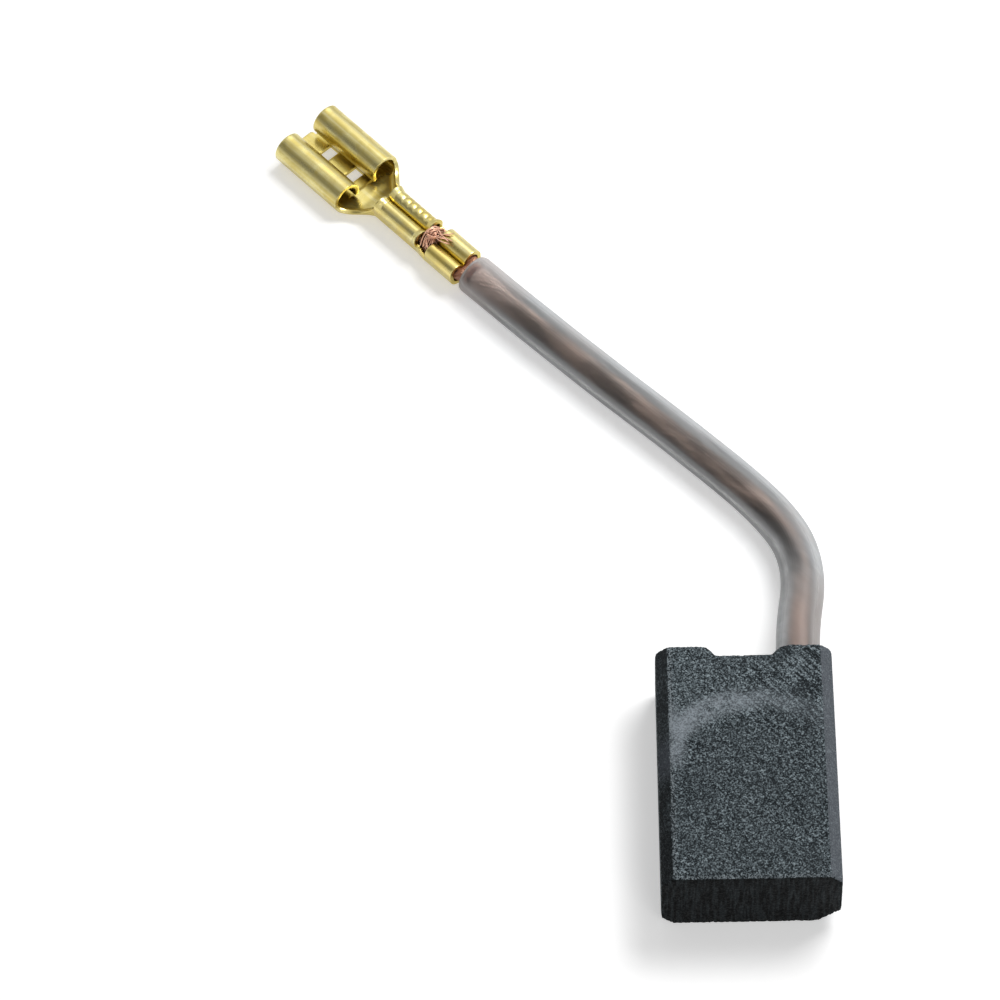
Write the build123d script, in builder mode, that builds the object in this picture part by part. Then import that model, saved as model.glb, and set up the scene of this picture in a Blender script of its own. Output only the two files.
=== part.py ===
from build123d import *
import math
import os

# Carbon brush with a sleeved copper lead and a crimped brass blade receptacle.
# Millimetres. The block lies on its broad back face: X is its width, Y its length, Z its thickness.
# The contact face looks along -Y and the lead leaves the opposite end.
# The origin is the middle of the block's back face.

# Carbon block
block_width = 16.0
block_length = 24.0
block_thickness = 8.0
edge_chamfer = 1.1
wide_edge_chamfer = 2.0
notch_floor_width = 5.0
notch_mouth_width = 6.7
notch_depth = 1.0
notch_round = 0.35

# Lead: a stranded copper rope in a soft sleeve
rope_diameter = 2.5
sleeve_wall = 0.7
sleeve_clearance = 0.1
lead_inset = 3.0
lead_seat_depth = 1.5
seat_clearance = 0.1

# Staked end of the rope inside the block
stake_hole_diameter = 3.6
stake_hole_depth = 7.0
rope_stop = 0.6
drill_point_angle = 118.0
stake_dish = 0.25

# Blade receptacle for a 6.3 x 0.8 mm tab, folded from one sheet
sheet = 0.4
box_width = 8.2
box_height = 3.2
roll_length = 8.8
roll_wrap = 295.0
tongue_length = 0.55
tongue_width = 2.2
tongue_round = 0.3
window_count = 2
window_width = 2.5
window_length = 1.25
window_pitch = 3.7
first_window = 2.7
stop_rib_radius = 0.3
stop_rib_height = 0.25
stop_rib_length = 3.6

# Crimps behind the box
neck_length = 3.3
neck_wall_height = 1.9
neck_dip = 0.7
wire_crimp_length = 5.9
wire_crimp_width = 3.5
wire_crimp_height = 2.6
crimp_corner = 0.7
crimp_tip = 0.35
rope_end_setback = 0.5
strand_window = 1.6
window_wall_height = 1.4
window_straight = 0.1
grip_crimp_length = 3.7
grip_crimp_width = 4.0
grip_corner = 1.0
grip_tip = 0.15
wide_wing_height = 3.0
wide_wing_share = 0.58
small_wing_height = 2.65

# Lie of the receptacle: degrees from +X towards +Y, and bare rope behind it
terminal_heading = 132.5
bare_rope = 1.1

# Derived sizes
sleeve_bore = rope_diameter + 2 * sleeve_clearance
sleeve_diameter = sleeve_bore + 2 * sleeve_wall
lead_offset = block_width / 2 - lead_inset
lead_height = sleeve_diameter / 2
exit_height = block_thickness / 2
seat_diameter = sleeve_diameter + 2 * seat_clearance
top_end = block_length / 2
seat_floor = top_end - lead_seat_depth
stake_bottom = seat_floor - stake_hole_depth
drill_point = stake_hole_diameter / 2 / math.tan(math.radians(drill_point_angle / 2))
barrel_rise = lead_height - rope_diameter / 2 - sheet
window_corner = window_wall_height - sheet - window_straight
grip_front = grip_crimp_length
crimp_rear = grip_front + strand_window
crimp_front = crimp_rear + wire_crimp_length
box_rear = crimp_front + neck_length
box_front = box_rear + roll_length

# Middle line of the lead, from its seat in the block to the end of the sleeve.
# It comes out level, sinks to the surface that the block lies on and stays there.
lead_exit = Vector(lead_offset, top_end, 0)
route = [
    lead_exit + Vector(0, -lead_seat_depth, exit_height),
    lead_exit + Vector(0, 3.3, exit_height),
    lead_exit + Vector(1.2, 11.0, 3.0),
    lead_exit + Vector(-0.8, 17.3, 2.1),
    lead_exit + Vector(-8.6, 25.6, lead_height),
    lead_exit + Vector(-20.5, 37.0, lead_height),
    lead_exit + Vector(-29.5, 46.4, lead_height),
]

heading = math.radians(terminal_heading)
forward = Vector(math.cos(heading), math.sin(heading), 0)
across = Vector(-math.sin(heading), math.cos(heading), 0)
terminal_rear = route[-1] + forward * bare_rope
terminal_base = Vector(terminal_rear.X, terminal_rear.Y, 0)


def corner_radii(points):
    """Largest arc that the two runs of each corner allow, with a short straight left between arcs."""
    radii = []
    for before, corner, after in zip(points, points[1:], points[2:]):
        run_in, run_out = corner - before, after - corner
        half_turn = math.radians(run_in.get_angle(run_out)) / 2
        radii.append(0.45 * min(run_in.length, run_out.length) / math.tan(half_turn))
    return radii


def station(along, rise=0.0):
    """Upright plane across the receptacle, its normal towards the mouth and x to the left."""
    middle = terminal_base + forward * along + Vector(0, 0, rise)
    return Plane(origin=middle, x_dir=across, z_dir=forward)


def rolled_section(plane):
    """Receptacle box: flat floor whose edges rise and curl over and down into two rolls."""
    curl = (box_height - sheet) / 2
    with BuildSketch(plane) as section:
        with BuildLine():
            floor = Line((0, sheet / 2), (box_width / 2 - box_height / 2, sheet / 2))
            JernArc(start=floor @ 1, tangent=floor % 1, radius=curl, arc_size=roll_wrap)
            offset(amount=sheet / 2, side=Side.BOTH, mode=Mode.REPLACE)
        make_face()
        mirror(about=Plane.YZ)
    return section.sketch


def channel_section(plane, width, corner, wall_height):
    """Open channel: floor, two bent corners and two upright walls."""
    with BuildSketch(plane) as section:
        with BuildLine():
            floor = Line((0, sheet / 2), (width / 2 - sheet / 2 - corner, sheet / 2))
            bend = JernArc(start=floor @ 1, tangent=floor % 1, radius=corner, arc_size=90)
            Line(bend @ 1, (width / 2 - sheet / 2, wall_height - sheet / 2))
            offset(amount=sheet / 2, side=Side.BOTH, mode=Mode.REPLACE)
        make_face()
        mirror(about=Plane.YZ)
    return section.sketch


def crimp_section(plane, width, corner, tip, wings):
    """Closed crimp: both walls curl over and press their edges down into the strands.

    Each wing is its height and its share of the width, left wing first.
    """
    wall = width / 2 - sheet / 2
    with BuildSketch(plane) as section:
        for side, (height, share) in zip((1, -1), wings):
            lobe = (width / 2 - sheet) * share
            with BuildLine():
                floor = Line((0, sheet / 2), (side * (wall - corner), sheet / 2))
                bend = JernArc(start=floor @ 1, tangent=floor % 1, radius=corner, arc_size=side * 90)
                flank = Line(bend @ 1, (side * wall, height - sheet / 2 - lobe))
                curl = JernArc(start=flank @ 1, tangent=flank % 1, radius=lobe, arc_size=side * 180)
                Line(curl @ 1, curl @ 1 - Vector(0, tip))
                offset(amount=sheet / 2, side=Side.BOTH, mode=Mode.REPLACE)
            make_face()
    return section.sketch


def wire_crimp_section(plane):
    """Crimp that holds the strands: two equal wings."""
    wing = (wire_crimp_height, 0.5)
    return crimp_section(plane, wire_crimp_width, crimp_corner, crimp_tip, (wing, wing))


def grip_section(plane):
    """Grip round the bare rope: a low narrow wing on the left and a high wide one on the right."""
    wings = ((small_wing_height, 1 - wide_wing_share), (wide_wing_height, wide_wing_share))
    return crimp_section(plane, grip_crimp_width, grip_corner, grip_tip, wings)


def crimped_strands_section(plane):
    """What is left inside the closed crimp, which the strands fill."""
    with BuildSketch(plane) as section:
        with Locations((0, sheet * 0.75)):
            Rectangle(
                wire_crimp_width - sheet * 1.5,
                wire_crimp_height - sheet * 1.5,
                align=(Align.CENTER, Align.MIN),
            )
        add(wire_crimp_section(Plane.XY), mode=Mode.SUBTRACT)
    return section.sketch.faces().sort_by(SortBy.AREA)[-1]


def gripped_rope_section(plane):
    """The round rope on the grip's floor, with the wings' edges pressed into it."""
    with BuildSketch(plane) as section:
        with Locations((0, sheet + rope_diameter / 2)):
            Circle(rope_diameter / 2)
        add(grip_section(Plane.XY), mode=Mode.SUBTRACT)
    return section.sketch.faces().sort_by(SortBy.AREA)[-1]


os.makedirs("parts", exist_ok=True)

# Carbon block: bevelled long edges, spring notch and the stepped hole for the lead
with BuildPart() as carbon_block:
    with BuildSketch(Plane.XZ.offset(-top_end)) as block_section:
        Rectangle(block_width, block_thickness, align=(Align.CENTER, Align.MIN))
        low_right = block_section.vertices().group_by(Axis.X)[-1].sort_by(Axis.Y)[0]
        chamfer([corner for corner in block_section.vertices() if corner != low_right], edge_chamfer)
        low_right = block_section.vertices().group_by(Axis.Y)[0].sort_by(Axis.X)[-1]
        chamfer(low_right, wide_edge_chamfer)
    extrude(amount=block_length)
    with BuildSketch(Plane.XY):
        with BuildLine():
            Polyline(
                (-notch_floor_width / 2, top_end - notch_depth),
                (notch_floor_width / 2, top_end - notch_depth),
                (notch_mouth_width / 2, top_end),
                (-notch_mouth_width / 2, top_end),
                close=True,
            )
        make_face()
    extrude(amount=block_thickness, mode=Mode.SUBTRACT)
    end_edges = carbon_block.edges().filter_by(Axis.Z).group_by(Axis.Y)[-1]
    fillet([edge for edge in end_edges if abs(edge.center().X) < notch_mouth_width / 2 + 0.1], notch_round)
    with BuildSketch(Plane(origin=(lead_offset, 0, exit_height), x_dir=(1, 0, 0), z_dir=(0, 0, 1))):
        with BuildLine():
            Polyline(
                (0, stake_bottom - drill_point),
                (stake_hole_diameter / 2, stake_bottom),
                (stake_hole_diameter / 2, seat_floor),
                (seat_diameter / 2, seat_floor),
                (seat_diameter / 2, top_end),
                (0, top_end),
                close=True,
            )
        make_face()
    lead_axis = Axis((lead_offset, 0, exit_height), (0, 1, 0))
    revolve(axis=lead_axis, mode=Mode.SUBTRACT)
carbon_block.part.label = "carbon_block"
export_step(carbon_block.part, "parts/carbon_block.step")

# Copper powder tamped round the rope, slightly dished at its top
with BuildPart() as tamping_plug:
    with BuildSketch(Plane(origin=(lead_offset, 0, exit_height), x_dir=(1, 0, 0), z_dir=(0, 0, 1))):
        with BuildLine():
            Polyline(
                (0, stake_bottom - drill_point),
                (stake_hole_diameter / 2, stake_bottom),
                (stake_hole_diameter / 2, seat_floor),
                (rope_diameter / 2, seat_floor - stake_dish),
                (rope_diameter / 2, stake_bottom + rope_stop),
                (0, stake_bottom + rope_stop),
                close=True,
            )
        make_face()
    revolve(axis=lead_axis)
tamping_plug.part.label = "tamping_plug"
export_step(tamping_plug.part, "parts/tamping_plug.step")

# Sleeve: a plain tube from the seat in the block to just behind the receptacle
sleeve_radii = corner_radii(route)
with BuildPart() as sleeve:
    with BuildLine() as sleeve_path:
        FilletPolyline(*route, radius=sleeve_radii)
    with BuildSketch(Plane(origin=sleeve_path.line @ 0, z_dir=sleeve_path.line % 0)) as tube_section:
        Circle(sleeve_diameter / 2)
        Circle(sleeve_bore / 2, mode=Mode.SUBTRACT)
    sweep(path=sleeve_path.line)
sleeve.part.label = "sleeve"
export_step(sleeve.part, "parts/sleeve.step")

# Rope: staked end, free run inside the sleeve, gripped run, bare strands and crimped end
rope_route = route + [terminal_rear]
rope_radii = sleeve_radii + corner_radii([route[-2], route[-1], terminal_rear])
staked_length = seat_floor - stake_bottom - rope_stop
with BuildPart() as shunt_wire:
    with BuildLine() as rope_path:
        FilletPolyline(*rope_route, radius=rope_radii)
    with BuildSketch(Plane(origin=rope_path.line @ 0, z_dir=rope_path.line % 0)):
        Circle(rope_diameter / 2)
    sweep(path=rope_path.line)
    with BuildSketch(Plane(origin=route[0], z_dir=(0, -1, 0))):
        Circle(rope_diameter / 2)
    extrude(amount=staked_length)
    extrude(gripped_rope_section(station(0, barrel_rise)), amount=grip_crimp_length)
    with BuildSketch(station(grip_front, lead_height)):
        Circle(rope_diameter / 2)
    extrude(amount=strand_window)
    extrude(
        crimped_strands_section(station(crimp_rear, barrel_rise)),
        amount=wire_crimp_length - rope_end_setback,
    )
shunt_wire.part.label = "shunt_wire"
export_step(shunt_wire.part, "parts/shunt_wire.step")

# Receptacle: grip, strand window, wire crimp, neck and rolled box, one folded sheet
roll_bend = (box_height - sheet) / 2
dip_radius = ((neck_length / 2) ** 2 + neck_dip**2) / (2 * neck_dip)
plan = Plane(origin=terminal_base, x_dir=forward, z_dir=(0, 0, 1))
side_view = Plane(origin=terminal_base, x_dir=forward, z_dir=-across)
with BuildPart() as receptacle_terminal:
    extrude(grip_section(station(0, barrel_rise)), amount=grip_crimp_length)
    behind = station(grip_front, barrel_rise)
    ahead = station(crimp_rear, barrel_rise)
    window_ends = [
        channel_section(behind, grip_crimp_width, window_corner, window_wall_height),
        channel_section(ahead, wire_crimp_width, crimp_corner, window_wall_height),
    ]
    loft([end.face() for end in window_ends])
    extrude(wire_crimp_section(station(crimp_rear, barrel_rise)), amount=wire_crimp_length)
    neck_ends = [
        channel_section(station(crimp_front, barrel_rise), wire_crimp_width, crimp_corner, neck_wall_height),
        channel_section(station(box_rear), box_width, roll_bend, neck_wall_height),
    ]
    loft([end.face() for end in neck_ends])
    extrude(rolled_section(station(box_rear)), amount=roll_length)
    with BuildSketch(side_view):
        with Locations((crimp_front + neck_length / 2, neck_wall_height - neck_dip + dip_radius)):
            Circle(dip_radius)
    extrude(amount=box_width / 2, both=True, mode=Mode.SUBTRACT)
    with BuildSketch(side_view):
        with Locations((box_rear, sheet + stop_rib_height - stop_rib_radius)):
            Circle(stop_rib_radius)
    extrude(amount=stop_rib_length / 2, both=True)
    with BuildSketch(plan):
        with Locations((box_front, 0)):
            RectangleRounded(2 * tongue_length, tongue_width, tongue_round)
    extrude(amount=sheet)
    with BuildSketch(plan):
        for count in range(window_count):
            with Locations((box_front - first_window - count * window_pitch, 0)):
                Rectangle(window_length, window_width)
    extrude(amount=sheet, mode=Mode.SUBTRACT)
receptacle_terminal.part.label = "receptacle_terminal"
export_step(receptacle_terminal.part, "parts/receptacle_terminal.step")

# Checks of the lead
tube_area = math.pi / 4 * (sleeve_diameter**2 - sleeve_bore**2)
tube_length = sleeve_path.wire().length
print("sleeve bend radii in sleeve diameters", [round(r / sleeve_diameter, 1) for r in sleeve_radii])
print("rope bend radius at the sleeve's end", round(rope_radii[-1], 1))
print("sleeve length", round(tube_length, 2))
print("sleeve volume", round(sleeve.part.volume, 2), "section x length", round(tube_area * tube_length, 2))
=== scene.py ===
import functools
import math
import random

import bpy
import numpy as np
from mathutils import Matrix, Vector, noise


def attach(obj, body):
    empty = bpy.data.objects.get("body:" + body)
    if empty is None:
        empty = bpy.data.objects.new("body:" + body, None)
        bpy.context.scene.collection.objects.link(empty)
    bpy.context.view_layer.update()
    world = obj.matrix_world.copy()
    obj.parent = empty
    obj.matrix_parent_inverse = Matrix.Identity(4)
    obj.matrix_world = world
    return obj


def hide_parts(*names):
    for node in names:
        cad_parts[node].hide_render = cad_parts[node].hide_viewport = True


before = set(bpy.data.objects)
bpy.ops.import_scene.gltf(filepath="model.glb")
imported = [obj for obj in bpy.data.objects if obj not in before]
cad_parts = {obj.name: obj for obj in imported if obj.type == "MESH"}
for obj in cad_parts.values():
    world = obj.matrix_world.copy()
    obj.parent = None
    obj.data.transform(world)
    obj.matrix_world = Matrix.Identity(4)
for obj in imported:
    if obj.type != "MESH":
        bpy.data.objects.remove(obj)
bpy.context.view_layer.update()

MM = 0.001
SCENE = bpy.context.scene
SCENE.view_settings.view_transform = "Standard"

# Sizes and places repeated from the part's source, in millimetres
BLOCK_WIDTH = 16.0
BLOCK_THICKNESS = 8.0
EDGE_CHAMFER = 1.1
WIDE_EDGE_CHAMFER = 2.0
NOTCH_FLOOR = 5.0
NOTCH_MOUTH = 6.7
NOTCH_DEPTH = 1.0
LEAD_AXIS = (5.0, 4.0)
SEAT_RADIUS = 2.15
SLEEVE_RADIUS = 2.05
BORE_RADIUS = 1.35
STAKE_BOTTOM = 4.1
TOP_END = 12.0
BARE_ROPE = 1.1
HEADING = math.radians(132.5)
SHEET = 0.4
BARREL_RISE = 0.4

# The lead's route, as in the part's source
ROUTE_MM = [
    (5.0, 10.5, 4.0),
    (5.0, 15.3, 4.0),
    (6.2, 23.0, 3.0),
    (4.2, 29.3, 2.1),
    (-3.6, 37.6, 2.05),
    (-15.5, 49.0, 2.05),
    (-24.5, 58.4, 2.05),
]
ROUTE = [tuple(v * MM for v in point) for point in ROUTE_MM]

# Crimps of the receptacle: width, corner radius, height and share of each wing, straight tip
GRIP_WIDTH = 4.0
GRIP_CORNER = 1.0
GRIP_TIP = 0.15
GRIP_WINGS = {1: (2.65, 0.42), -1: (3.0, 0.58)}
WIRE_WIDTH = 3.5
WIRE_CORNER = 0.7
WIRE_TIP = 0.35
WIRE_WING = (2.6, 0.5)
WINDOW_CORNER = 0.9
BOX_WIDTH = 8.2
ROLL_BEND = 1.4
ROLL_WRAP = 295

# Stations along the receptacle, from the rear of its grip crimp
GRIP_FRONT = 3.7
WIRE_REAR = 5.3
WIRE_FRONT = 11.2
BOX_REAR = 14.5
# The box and the tongue end 0.01 mm early, so that nothing passes the solids' box
BOX_FRONT = 23.29
TONGUE_TIP = 23.84
WINDOWS = (20.6, 16.9)
WINDOW_LENGTH = 1.25
WINDOW_WIDTH = 2.5

FORWARD = np.array([math.cos(HEADING), math.sin(HEADING), 0.0])
ACROSS = np.array([-math.sin(HEADING), math.cos(HEADING), 0.0])
UPWARD = np.array([0.0, 0.0, 1.0])
TERMINAL_REAR = np.array(ROUTE_MM[-1]) + FORWARD * BARE_ROPE
TERMINAL_BASE = TERMINAL_REAR * np.array([1.0, 1.0, 0.0])

# Station along the heading where the sleeve ends, in metres
SLEEVE_END = float(np.dot(ROUTE[-1], FORWARD))

# Wear of the block's edges: how far it reaches, its even depth, the depth of chips, the noise
# level where they start, and the depth of crumbs
END_WEAR = (0.5, 0.03, 0.16, 0.12, 0.10)
LONG_WEAR = (0.4, 0.02, 0.08, 0.10, 0.06)
CORNER_WEAR = 0.8
RIGHT_CORNER_DEPTH = 0.14
LEFT_CORNER_DEPTH = 0.06
BLOCK_VOXEL = 0.15

# Unevenness of the sleeve's wall and rounding of its rims, outside and inside
OUTER_WAVE, OUTER_RIM = 0.035, 0.07
BORE_WAVE, BORE_RIM = 0.03, 0.05
SLEEVE_IOR = 1.22

# Rope: length of lay, and rings of bunches with their number, ring radius, radius and first angle
ROPE_LAY = 11.0
BUNCH_RINGS = ((6, 0.42, 0.235, 0.0), (14, 0.92, 0.235, 0.2))

# Numbers of loose wires
THROUGH_WIRES = 90
OUTER_WIRES = 64
CROSSING_WIRES = 26
STRAY_HAIRS = 9
CURL_WIRES = 9

# Serrations of the wire crimp: number, first station, pitch, place on the flank and depth
SERRATIONS = 5
SERRATION_REAR = WIRE_REAR + 1.25
SERRATION_PITCH = 0.80
SERRATION_REACH = 3.62
SERRATION_DEPTH = 0.11

# Greys of the pressed carbon
CARBON_DARK = (0.0095, 0.0130, 0.0150)
CARBON_LIGHT = (0.120, 0.148, 0.163)
CARBON_FLECK = (0.32, 0.38, 0.41)

# Camera of the photograph: elevation, yaw and roll, target and distance in metres, and lens
CAMERA_ANGLES = (56.556, -2.303, -3.093)
CAMERA_TARGET = Vector((-22.09 * MM, 33.47 * MM, 0))
CAMERA_DISTANCE = 0.45
SENSOR_WIDTH = 36
FOCAL_RATIO = 4.7784

# Floor, just under the part so that the two never share a surface, in metres
FLOOR_HALF = 3.0
FLOOR_HEIGHT = -0.00003

# Lamps: name, place, target, size and power
LAMPS = [
    ("key", (0.20, 0.24, 0.42), (-0.015, 0.03, 0), (0.26, 0.20), 1.9),
    ("fill", (0.16, -0.30, 0.36), (-0.015, 0.03, 0), (0.20, 0.20), 0.26),
    ("strip", (0.017, 0.40, 0.375), (-0.03, 0.07, 0), (0.22, 0.30), 0.17),
]


def linked(name, data):
    """New object of the scene."""
    made = bpy.data.objects.new(name, data)
    SCENE.collection.objects.link(made)
    return made


def make_camera():
    """Camera at the photograph's viewing angle."""
    elevation, yaw, roll = (math.radians(angle) for angle in CAMERA_ANGLES)
    ahead = Vector((
        math.sin(yaw) * math.cos(elevation),
        math.cos(yaw) * math.cos(elevation),
        -math.sin(elevation),
    ))
    level = Vector((math.cos(yaw), -math.sin(yaw), 0))
    lift = level.cross(ahead)
    right = level * math.cos(roll) + lift * math.sin(roll)
    up = lift * math.cos(roll) - level * math.sin(roll)
    data = bpy.data.cameras.new("photo_camera")
    data.sensor_width = SENSOR_WIDTH
    data.lens = FOCAL_RATIO * SENSOR_WIDTH
    data.clip_start, data.clip_end = 0.01, 10
    camera = linked("photo_camera", data)
    turn = Matrix((right, up, -ahead)).transposed().to_4x4()
    camera.matrix_world = Matrix.Translation(CAMERA_TARGET - ahead * CAMERA_DISTANCE) @ turn
    SCENE.camera = camera


class Look:
    """Material, or world, that is built node by node."""

    def __init__(self, name, world=False):
        self.owner = (bpy.data.worlds if world else bpy.data.materials).new(name)
        self.owner.use_nodes = True
        self.tree = self.owner.node_tree
        self.tree.nodes.clear()
        self.output = self.node("OutputWorld" if world else "OutputMaterial")
        self.place = self.node("TexCoord").outputs["Object"]

    def feed(self, socket, value):
        if isinstance(value, bpy.types.NodeSocket):
            self.tree.links.new(value, socket)
        elif socket.type == "RGBA" and len(value) == 3:
            socket.default_value = (*value, 1.0)
        else:
            socket.default_value = value

    def node(self, kind, settings=None, **inputs):
        made = self.tree.nodes.new("ShaderNode" + kind)
        for key, value in (settings or {}).items():
            setattr(made, key, value)
        for key, value in inputs.items():
            self.feed(made.inputs[key.replace("_", " ")], value)
        return made

    def math(self, operation, first, second=0.0):
        made = self.node("Math", {"operation": operation})
        self.feed(made.inputs[0], first)
        self.feed(made.inputs[1], second)
        return made.outputs[0]

    def times(self, first, *others):
        for other in others:
            first = self.math("MULTIPLY", first, other)
        return first

    def plus(self, first, *others):
        for other in others:
            first = self.math("ADD", first, other)
        return first

    def split(self, vector):
        return self.node("SeparateXYZ", Vector=vector).outputs

    def reach(self, x, y):
        """Length of a sideways place."""
        made = self.node("VectorMath", {"operation": "LENGTH"})
        self.feed(made.inputs[0], self.node("CombineXYZ", X=x, Y=y).outputs[0])
        return made.outputs["Value"]

    def dot(self, vector, direction):
        made = self.node("VectorMath", {"operation": "DOT_PRODUCT"})
        self.feed(made.inputs[0], vector)
        made.inputs[1].default_value = tuple(direction)
        return made.outputs["Value"]

    def near(self, value, place, end, full):
        """1 where a value is at a place, 0 at the end of its reach."""
        return self.ramp(self.math("ABSOLUTE", self.math("SUBTRACT", value, place)), end, full)

    def mix(self, amount, low, high):
        made = self.node("Mix", {"data_type": "RGBA", "blend_type": "MIX"})
        self.feed(made.inputs[0], amount)
        self.feed(made.inputs[6], low)
        self.feed(made.inputs[7], high)
        return made.outputs[2]

    def ramp(self, value, low, high, out_low=0.0, out_high=1.0):
        made = self.node("MapRange", {"interpolation_type": "SMOOTHSTEP"}, Value=value)
        names = ("From Min", "From Max", "To Min", "To Max")
        for name, number in zip(names, (low, high, out_low, out_high)):
            made.inputs[name].default_value = number
        return made.outputs[0]

    def noise(self, scale, detail, rough, distortion=0.0, vector=None):
        made = self.node("TexNoise", Scale=scale, Detail=detail, Roughness=rough, Distortion=distortion)
        self.feed(made.inputs["Vector"], vector or self.place)
        return made.outputs[0]

    def streaks(self, angle, stretch, detail, rough):
        """Noise in coordinates turned about Z by an angle and then scaled along the turned axes."""
        spun = self.node("Mapping", Vector=self.place, Rotation=(0, 0, angle)).outputs[0]
        scaled = self.node("Mapping", Vector=spun, Scale=stretch).outputs[0]
        return self.noise(1.0, detail, rough, vector=scaled)

    def bump(self, height, distance, strength):
        return self.node("Bump", Height=height, Distance=distance, Strength=strength).outputs[0]

    def principled(self, colour, rough, normal=None, **constants):
        made = self.node("BsdfPrincipled", Base_Color=colour, Roughness=rough)
        if normal is not None:
            self.feed(made.inputs["Normal"], normal)
        for key, value in constants.items():
            made.inputs[key.replace("_", " ")].default_value = value
        return made

    def surface(self, shader):
        self.feed(self.output.inputs["Surface"], shader.outputs[0])
        return self.owner

    def looked_at(self):
        """1 for rays from the camera, also by mirrors or through the sleeve, and 0 for others."""
        path = self.node("LightPath").outputs
        direct = self.math("MAXIMUM", path["Is Camera Ray"], path["Is Glossy Ray"])
        return self.math("MAXIMUM", direct, path["Is Transmission Ray"])

    def lit_through(self, shader, tint, share):
        """The shader as the surface, but mostly clear to the rays that look for the lamps."""
        clear = self.node("BsdfTransparent", Color=tint)
        both = self.node("MixShader")
        self.feed(both.inputs[0], self.times(self.node("LightPath").outputs["Is Shadow Ray"], share))
        self.feed(both.inputs[1], shader.outputs[0])
        self.feed(both.inputs[2], clear.outputs[0])
        return self.surface(both)


def carbon_look():
    look = Look("pressed_carbon")
    x, y, _ = look.split(look.place)
    across, along, upward = look.split(look.node("NewGeometry").outputs["True Normal"])
    contact = look.ramp(along, -0.55, -0.8)
    broad = look.ramp(upward, 0.8, 0.97)
    left_bevel = look.times(look.ramp(across, -0.45, -0.6), look.ramp(upward, 0.3, 0.5))
    right_bevel = look.times(look.ramp(across, 0.45, 0.6), look.ramp(upward, 0.3, 0.5))
    # Salt and pepper grain: one random grey for each crumb, softened by noise
    crumb = look.split(look.node("TexVoronoi", Vector=look.place, Scale=6400).outputs["Color"])[0]
    grain = look.noise(6800, 2.0, 0.6)
    coarse = look.noise(420, 3.0, 0.6)
    lines = look.streaks(math.radians(-45), (3600, 420, 1500), 2.0, 0.6)
    face_lines = look.streaks(0, (3200, 500, 300), 2.0, 0.6)
    tone = look.plus(look.times(crumb, 0.45), look.times(look.ramp(grain, 0.36, 0.64), 0.55))
    # Slanting streaks, strongest in the corner by the lead, and a slightly paler upper part
    corner = look.times(look.ramp(x, -0.004, 0.006), look.ramp(y, -0.002, 0.008))
    streak = look.times(look.ramp(lines, 0.40, 0.62, -0.17, 0.15), look.plus(corner, 0.3))
    tone = look.plus(tone, look.times(streak, broad))
    upper = look.times(look.ramp(y, 0.0015, 0.0065), look.ramp(x, 0.0050, -0.0040, 0.035, 0.080))
    tone = look.plus(tone, look.times(upper, broad))
    colour = look.mix(look.ramp(tone, 0.26, 0.80), CARBON_DARK, CARBON_LIGHT)
    colour = look.mix(look.ramp(tone, 0.74, 0.98, 0.0, 0.8), colour, CARBON_FLECK)
    colour = look.mix(look.ramp(coarse, 0.35, 0.7, 0.0, 0.25), colour, (0.050, 0.060, 0.066))
    # Pale arc on the broad face, widest at the left edge
    centre_gap = look.reach(look.math("SUBTRACT", x, 0.0008), look.plus(y, 0.0030))
    arc_mark = look.times(
        look.near(centre_gap, 0.0093, 0.0017, 0.0002),
        look.ramp(x, 0.0065, -0.0050, 0.18, 1.0),
        look.ramp(y, -0.0005, 0.0022),
    )
    patch_gap = look.reach(look.plus(x, 0.0069), look.times(look.math("SUBTRACT", y, 0.0022), 0.42))
    mark = look.math("MAXIMUM", arc_mark, look.ramp(patch_gap, 0.0020, 0.0006))
    mark = look.times(mark, look.ramp(look.noise(700, 3.0, 0.6), 0.25, 0.55))
    mark = look.times(mark, look.ramp(tone, 0.15, 0.75, 0.55, 1.0), broad, 0.90)
    colour = look.mix(mark, colour, (0.285, 0.322, 0.355))
    # Light crumbs along the left and lower edges of the broad face
    rim = look.near(x, -0.0068, 0.00042, 0.00008)
    rim = look.math("MAXIMUM", rim, look.ramp(look.plus(y, 0.0120), 0.00060, 0.00010))
    rim = look.times(rim, broad, look.ramp(tone, 0.35, 0.75), 0.65)
    colour = look.mix(rim, colour, (0.235, 0.265, 0.285))
    # Smoother bevels: painted shade on the left bevel, lighter towards the block's far end and with one
    # paler patch, and painted light on the right bevel
    height_share = look.ramp(y, -0.0030, 0.0040)
    left_bevel_shade = look.mix(height_share, (0.0035, 0.0048, 0.0055), (0.0135, 0.0165, 0.0180))
    left_bevel_shade = look.mix(look.near(y, 0.0005, 0.0030, 0.0008), left_bevel_shade, (0.046, 0.052, 0.062))
    shade_strength = look.ramp(coarse, 0.40, 0.62, 0.90, 0.66)
    # Painted shade on the left bevel, its strength varied by noise
    colour = look.mix(look.times(left_bevel, shade_strength), colour, left_bevel_shade)
    # Painted light: the right bevel made paler, as if lit
    colour = look.mix(look.times(right_bevel, 0.70), colour, (0.120, 0.132, 0.150))
    # Contact face with upright grinding lines, painted darker: partly its ground finish, partly painted
    # shade
    ridges = look.ramp(face_lines, 0.43, 0.62)
    ground_finish_and_shade = look.mix(ridges, (0.0002, 0.0004, 0.0005), (0.0185, 0.0225, 0.0245))
    colour = look.mix(look.times(contact, 0.97), colour, ground_finish_and_shade)
    height = look.plus(tone, look.times(face_lines, look.times(contact, 1.2)))
    rough = look.ramp(tone, 0.3, 0.8, 0.80, 0.52)
    shader = look.principled(colour, rough, look.bump(height, 0.00006, 0.7), Specular_IOR_Level=0.07)
    return look.surface(shader)


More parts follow.
